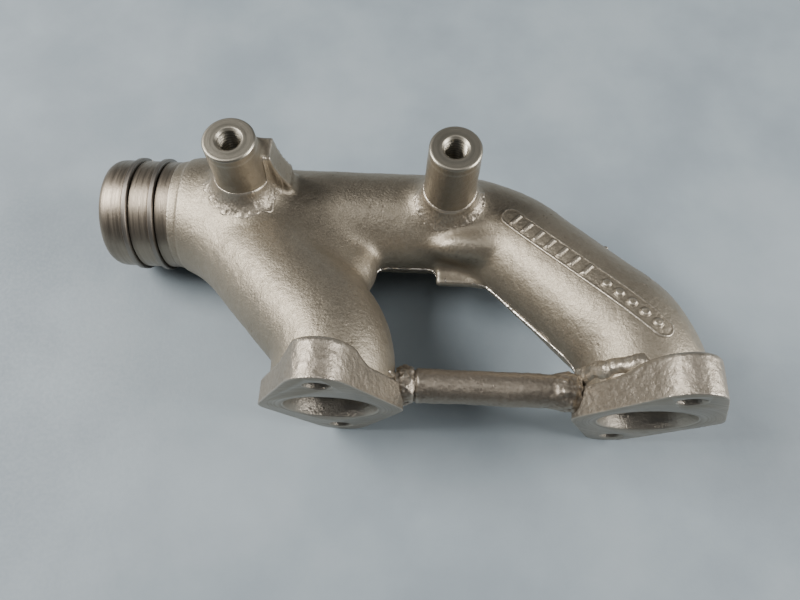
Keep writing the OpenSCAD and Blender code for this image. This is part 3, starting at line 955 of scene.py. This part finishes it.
def tool_marks_group():
    """Fine parallel tool marks that step along one direction."""
    tree, start, end = new_group(
        "tool marks",
        [("Place", "NodeSocketVector", None), ("Along", "NodeSocketFloat", 0.0),
         ("Spacing", "NodeSocketFloat", 1.0)],
        [("Height", "NodeSocketFloat"), ("Streaks", "NodeSocketFloat")])
    step = sum_of(tree, "MULTIPLY", start.outputs["Along"], start.outputs["Spacing"])
    fine = add_node(tree, "ShaderNodeTexNoise", {"noise_dimensions": "1D"}, W=step, Scale=4200.0, Detail=3.0)
    broad = add_node(tree, "ShaderNodeTexNoise", {"noise_dimensions": "1D"}, W=step, Scale=700.0, Detail=2.0)
    grime = noise_value(tree, start.outputs["Place"], 900.0, 3.0)
    height = sum_of(tree, "ADD", fine.outputs[0], sum_of(tree, "MULTIPLY", grime, 0.35))
    tree.links.new(height, end.inputs["Height"])
    tree.links.new(broad.outputs[0], end.inputs["Streaks"])
    return tree


GRAIN = sand_grain_group()
WEAR_AND_SHADE = edge_wear_and_shade_group()
MARKS = tool_marks_group()


def use_group(tree, group, **values):
    """Places a shared effect in a material."""
    node = tree.nodes.new("ShaderNodeGroup")
    node.node_tree = group
    for label, value in values.items():
        socket = node.inputs[label.replace("_", " ")]
        if isinstance(value, bpy.types.NodeSocket):
            tree.links.new(value, socket)
        else:
            socket.default_value = value
    return node.outputs


def new_material(name):
    """Material with its Principled shader and the object's own coordinates."""
    material = bpy.data.materials.new(name)
    material.use_nodes = True
    tree = material.node_tree
    shader = tree.nodes["Principled BSDF"]
    place = tree.nodes.new("ShaderNodeTexCoord").outputs["Object"]
    return material, tree, shader, place


def bump_from(tree, height, depth):
    """Normal from a height in shares of a depth in millimetres."""
    node = add_node(tree, "ShaderNodeBump", Height=height, Strength=1.0, Distance=depth * MM)
    return node.outputs[0]


def rgb(r, g, b):
    return (r, g, b, 1.0)


def cast_finish(name, tone, dark, light, grain=1.0, depth=0.2, pitting=0.6, roughness=0.46):
    """Blasted sand-cast iron: mottled tone, grain, pits, rubbed ridges and painted shade in hollows."""
    material, tree, shader, place = new_material(name)
    grains = use_group(tree, GRAIN, Place=place, Grain_Size=grain, Pitting=pitting)
    wear_and_shade = use_group(tree, WEAR_AND_SHADE, Place=place, Reach=0.045)
    patches = ramp_between(tree, noise_value(tree, place, 28.0, 4.0), 0.36, 0.64)
    flecks = ramp_between(tree, noise_value(tree, place, 1300.0, 2.0), 0.35, 0.65)
    colour = blend_colour(tree, patches, rgb(*tone), rgb(*[c * 0.88 for c in tone]))
    colour = blend_colour(tree, sum_of(tree, "MULTIPLY", flecks, 0.10), colour, rgb(*light))
    colour = blend_colour(tree, sum_of(tree, "MULTIPLY", grains["Pits"], 0.7), colour, rgb(*dark))
    # Painted shade: concave places are darkened towards the dark tone.
    colour = blend_colour(tree, sum_of(tree, "MULTIPLY", wear_and_shade["Hollow Shade"], 0.5), colour, rgb(*dark))
    colour = blend_colour(tree, sum_of(tree, "MULTIPLY", wear_and_shade["Ridges"], 0.4), colour, rgb(*light))
    tree.links.new(colour, shader.inputs["Base Color"])
    gloss = sum_of(tree, "ADD", ramp_between(tree, flecks, 0.0, 1.0, -0.04, 0.05), roughness)
    gloss = sum_of(tree, "SUBTRACT", gloss, sum_of(tree, "MULTIPLY", wear_and_shade["Ridges"], 0.10))
    gloss = sum_of(tree, "ADD", gloss, sum_of(tree, "MULTIPLY", grains["Pits"], 0.2))
    tree.links.new(gloss, shader.inputs["Roughness"])
    shader.inputs["Metallic"].default_value = 0.82
    tree.links.new(bump_from(tree, grains["Height"], depth), shader.inputs["Normal"])
    return material


def turned_finish(name, tone, dark, axis_centre, mode, roughness=0.34, depth=0.03):
    """Machined iron with tool marks along an axis or in rings round one."""
    material, tree, shader, place = new_material(name)
    parts = add_node(tree, "ShaderNodeSeparateXYZ", Vector=place).outputs
    if mode == "along_x":
        along = parts[0]
    else:
        first, second = (0, 1) if mode == "rings_z" else (0, 2)
        a = sum_of(tree, "SUBTRACT", parts[first], axis_centre[first] * MM)
        b = sum_of(tree, "SUBTRACT", parts[second], axis_centre[second] * MM)
        along = sum_of(tree, "POWER", sum_of(tree, "ADD", sum_of(tree, "MULTIPLY", a, a),
                                             sum_of(tree, "MULTIPLY", b, b)), 0.5)
    marks = use_group(tree, MARKS, Place=place, Along=along, Spacing=1.0)
    wear_and_shade = use_group(tree, WEAR_AND_SHADE, Place=place, Reach=0.06)
    haze = ramp_between(tree, noise_value(tree, place, 45.0, 4.0), 0.35, 0.65)
    colour = blend_colour(tree, haze, rgb(*tone), rgb(*[c * 0.8 for c in tone]))
    colour = blend_colour(tree, ramp_between(tree, marks["Streaks"], 0.35, 0.65, 0.0, 0.30), colour, rgb(*dark))
    # Painted shade: concave places are darkened strongly towards the dark tone.
    colour = blend_colour(tree, sum_of(tree, "MULTIPLY", wear_and_shade["Hollow Shade"], 0.85), colour, rgb(*dark))
    light = [min(1.0, c * 1.35) for c in tone]
    colour = blend_colour(tree, sum_of(tree, "MULTIPLY", wear_and_shade["Ridges"], 0.6), colour, rgb(*light))
    tree.links.new(colour, shader.inputs["Base Color"])
    gloss = sum_of(tree, "ADD", ramp_between(tree, marks["Streaks"], 0.3, 0.7, -0.05, 0.09), roughness)
    tree.links.new(gloss, shader.inputs["Roughness"])
    shader.inputs["Metallic"].default_value = 0.92
    tree.links.new(bump_from(tree, marks["Height"], depth), shader.inputs["Normal"])
    return material


def floor_finish():
    """Plain pale floor paint with a faint unevenness."""
    material, tree, shader, place = new_material("pale_floor")
    drift = ramp_between(tree, noise_value(tree, place, 9.0, 5.0), 0.3, 0.7)
    colour = blend_colour(tree, drift, rgb(0.25, 0.30, 0.34), rgb(0.34, 0.40, 0.44))
    tree.links.new(colour, shader.inputs["Base Color"])
    fine = noise_value(tree, place, 500.0, 3.0)
    tree.links.new(ramp_between(tree, fine, 0.3, 0.7, 0.55, 0.68), shader.inputs["Roughness"])
    tree.links.new(bump_from(tree, fine, 0.05), shader.inputs["Normal"])
    return material


# --- Putting it together -----------------------------------------------------

CAST_TONE = (0.31, 0.27, 0.207)
CAST_DARK = (0.085, 0.07, 0.055)
CAST_LIGHT = (0.62, 0.57, 0.49)
TURNED_TONE = (0.46, 0.42, 0.36)
TURNED_DARK = (0.13, 0.115, 0.10)


def dress(obj, body, slot, materials, *nodes):
    """Puts a piece on its body with its finish, in place of the CAD nodes it stands for."""
    obj.data.materials.clear()
    for material in materials:
        obj.data.materials.append(material)
    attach(obj, body)
    if nodes:
        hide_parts(*nodes)


def dress_castings():
    """The blended body, its crusts, the bar, the pad and the small cast features."""
    skin = cast_finish("sand_cast_skin", CAST_TONE, CAST_DARK, CAST_LIGHT)
    crust = cast_finish("sand_crust", (0.37, 0.325, 0.26), CAST_DARK, (0.62, 0.56, 0.47), 0.9, 0.2, 0.5, 0.44)
    rough = cast_finish("bar_skin", (0.29, 0.25, 0.20), CAST_DARK, CAST_LIGHT, 0.9, 0.16, 1.6, 0.44)
    # The flash's lighter tone is a painted highlight along its thin edge.
    flash_highlight_skin = cast_finish("flash_painted_highlight", (0.5, 0.46, 0.40), CAST_DARK, (0.9, 0.86, 0.8), 1.0, 0.05, 0.3, 0.3)
    body = make_body()
    dress(body, "casting", "cast_iron_rough", [skin], "log_tube", "log_elbow", "front_branch", "front_runner",
          "front_bend", "rear_runner", "rear_bend", "boss_rib", "crotch_web")
    front = make_boss_crust("front_boss_crust", BOSS_AXES[0], 168, 372, 7.5, 3)
    dress(front, "casting", "cast_iron_rough", [crust], "front_boss_collar")
    rear = make_boss_crust("rear_boss_crust", BOSS_AXES[1], 160, 380, 5.0, 5)
    dress(rear, "casting", "cast_iron_rough", [crust])
    dress(make_tie_bar(), "casting", "cast_iron_rough", [rough], "tie_bar", "front_tie_collar",
          "rear_tie_collar")
    dress(make_flash(), "casting", "cast_iron_rough", [flash_highlight_skin], "log_fin", "runner_fin")
    dress(make_pad(), "casting", "cast_iron_rough", [skin], "marking_pad")
    dress(make_pip(), "casting", "cast_iron_rough", [skin], "vent_pip")
    back = FLANGE_T + 0.5
    apron = make_bead("rear_flange_crust", [REAR_PORT[0], back + 1, 0], [0, 1, 0], 98, 200, 25.6, 4.8, 7)
    dress(apron, "casting", "cast_iron_rough", [crust])
    bead = make_bead("front_flange_crust", [0, back - 3, 0], [0, 1, 0], -30, 28, 27.3, 2.0, 9)
    dress(bead, "casting", "cast_iron_rough", [crust])


def dress_machined():
    """Boss tops, flanges, spigot and the two sealing rings."""
    side = cast_finish("boss_side_skin", CAST_TONE, CAST_DARK, CAST_LIGHT)
    for name, node, axis in (("front", "front_boss", BOSS_AXES[0]), ("rear", "rear_boss", BOSS_AXES[1])):
        cap = turned_finish(name + "_boss_milled", (0.42, 0.39, 0.32), TURNED_DARK, axis, "rings_z", 0.36)
        top = make_boss_top(name + "_boss_top", axis)
        dress(top, "casting", "boss_iron", [side, cap], node)
        for face in top.data.polygons:
            if face.center[2] > (BOSS_TOP - 0.9) * MM or radial(face, axis) < 6.5:
                face.material_index = 1
    rim = cast_finish("flange_rim_skin", (0.31, 0.272, 0.22), CAST_DARK, CAST_LIGHT, 0.85, 0.26, 0.5, 0.45)
    for name, port, stud, rise, thin, seed in (
            ("front_flange", FRONT_PORT, "front_upper_bolt_hole", 0.0, (5.0, 5.0), 51),
            ("rear_flange", REAR_PORT, "rear_upper_bolt_hole", 10.0, (3.0, 0.0), 61)):
        upper = mount_place(stud) * [1, 0, 1]
        face = turned_finish(name + "_milled", (0.30, 0.265, 0.215), TURNED_DARK, port, "rings_y", 0.40)
        plate = make_flange(name + "_plate", port, upper, rise, thin, seed)
        dress(plate, "casting", "flange_iron", [rim, face], name)
        mark_milled_faces(plate, 1)
    lands = turned_finish("turned_lands", (0.28, 0.24, 0.19), TURNED_DARK, LOG_AXIS, "along_x", 0.36, 0.05)
    dress(make_spigot(), "casting", "turned_iron", [lands], "spigot")
    ring_iron = turned_finish("ring_iron", (0.26, 0.235, 0.205), (0.07, 0.06, 0.05), LOG_AXIS, "along_x", 0.38)
    outer = make_ring("outer_split_ring", "outer_seal_ring", 20)
    dress(outer, "outer_ring", "ring_iron", [ring_iron], "outer_seal_ring")
    inner = make_ring("inner_split_ring", "inner_seal_ring", -40)
    dress(inner, "inner_ring", "ring_iron", [ring_iron], "inner_seal_ring")


def radial(face, axis):
    """Distance of a face's centre from an upright axis."""
    return math.hypot(face.center[0] / MM - axis[0], face.center[1] / MM - axis[1])


def lay_floor():
    """Plain floor under the object's lowest point."""
    size = 1600.0
    z = cad_box[0][2] / MM
    mesh = bpy.data.meshes.new("floor")
    corners = [(-size, -size, z), (size, -size, z), (size, size, z), (-size, size, z)]
    mesh.from_pydata([[c * MM for c in corner] for corner in corners], [], [(0, 1, 2, 3)])
    floor = bpy.data.objects.new("floor", mesh)
    bpy.context.scene.collection.objects.link(floor)
    floor.data.materials.append(floor_finish())


def soft_light(name, place, target, size, power, colour):
    """Rectangular soft light aimed at a point, in metres."""
    data = bpy.data.lights.new(name, "AREA")
    data.shape = "RECTANGLE"
    data.size, data.size_y = size
    data.energy = power
    data.color = colour
    lamp = bpy.data.objects.new(name, data)
    bpy.context.scene.collection.objects.link(lamp)
    way = unit(np.array(place) - np.array(target))
    across = unit(np.cross([0.02, 1.0, 0.03], way))
    up = np.cross(way, across)
    turned = np.eye(4)
    turned[:3, :3] = np.stack([across, up, way], axis=1)
    turned[:3, 3] = place
    lamp.matrix_world = Matrix(turned.tolist())


def light_studio():
    """Two broad side lights, a faint ceiling light and dim surroundings."""
    world = bpy.data.worlds.new("studio")
    bpy.context.scene.world = world
    world.use_nodes = True
    world.node_tree.nodes["Background"].inputs["Color"].default_value = rgb(0.80, 0.88, 1.0)
    world.node_tree.nodes["Background"].inputs["Strength"].default_value = 0.07
    soft_light("left_light", [-1.0, 0.22, 0.88], [0.02, 0.06, 0], (0.7, 0.7), 28.0, (1.0, 0.975, 0.94))
    soft_light("right_light", [1.20, 0.02, 0.62], [0.03, 0.05, 0], (0.7, 0.7), 20.0, (1.0, 0.98, 0.95))
    soft_light("ceiling_light", [0.0, 0.02, 1.45], [0.02, 0.06, 0], (0.7, 0.7), 2.2, (1.0, 0.98, 0.95))


def place_camera():
    """Camera looking steeply down along the part from above its flanges."""
    turn, dip, tilt = 0.02733, 1.19273, -0.01516
    ahead = np.array([-math.sin(turn) * math.cos(dip), math.cos(turn) * math.cos(dip), -math.sin(dip)])
    right = np.array([math.cos(turn), math.sin(turn), 0])
    down = np.cross(ahead, right)
    across = right * math.cos(tilt) + down * math.sin(tilt)
    up = right * math.sin(tilt) - down * math.cos(tilt)
    placed = np.eye(4)
    placed[:3, :3] = np.stack([across, up, -ahead], axis=1)
    placed[:3, 3] = np.array([31.74, -55.41, 272.80]) * MM
    data = bpy.data.cameras.new("camera")
    data.lens = 27.81
    data.sensor_width = 36.0
    data.clip_start = 0.01
    camera = bpy.data.objects.new("camera", data)
    bpy.context.scene.collection.objects.link(camera)
    camera.matrix_world = Matrix(placed.tolist())
    bpy.context.scene.camera = camera


place_camera()
lay_floor()
light_studio()
dress_castings()
dress_machined()
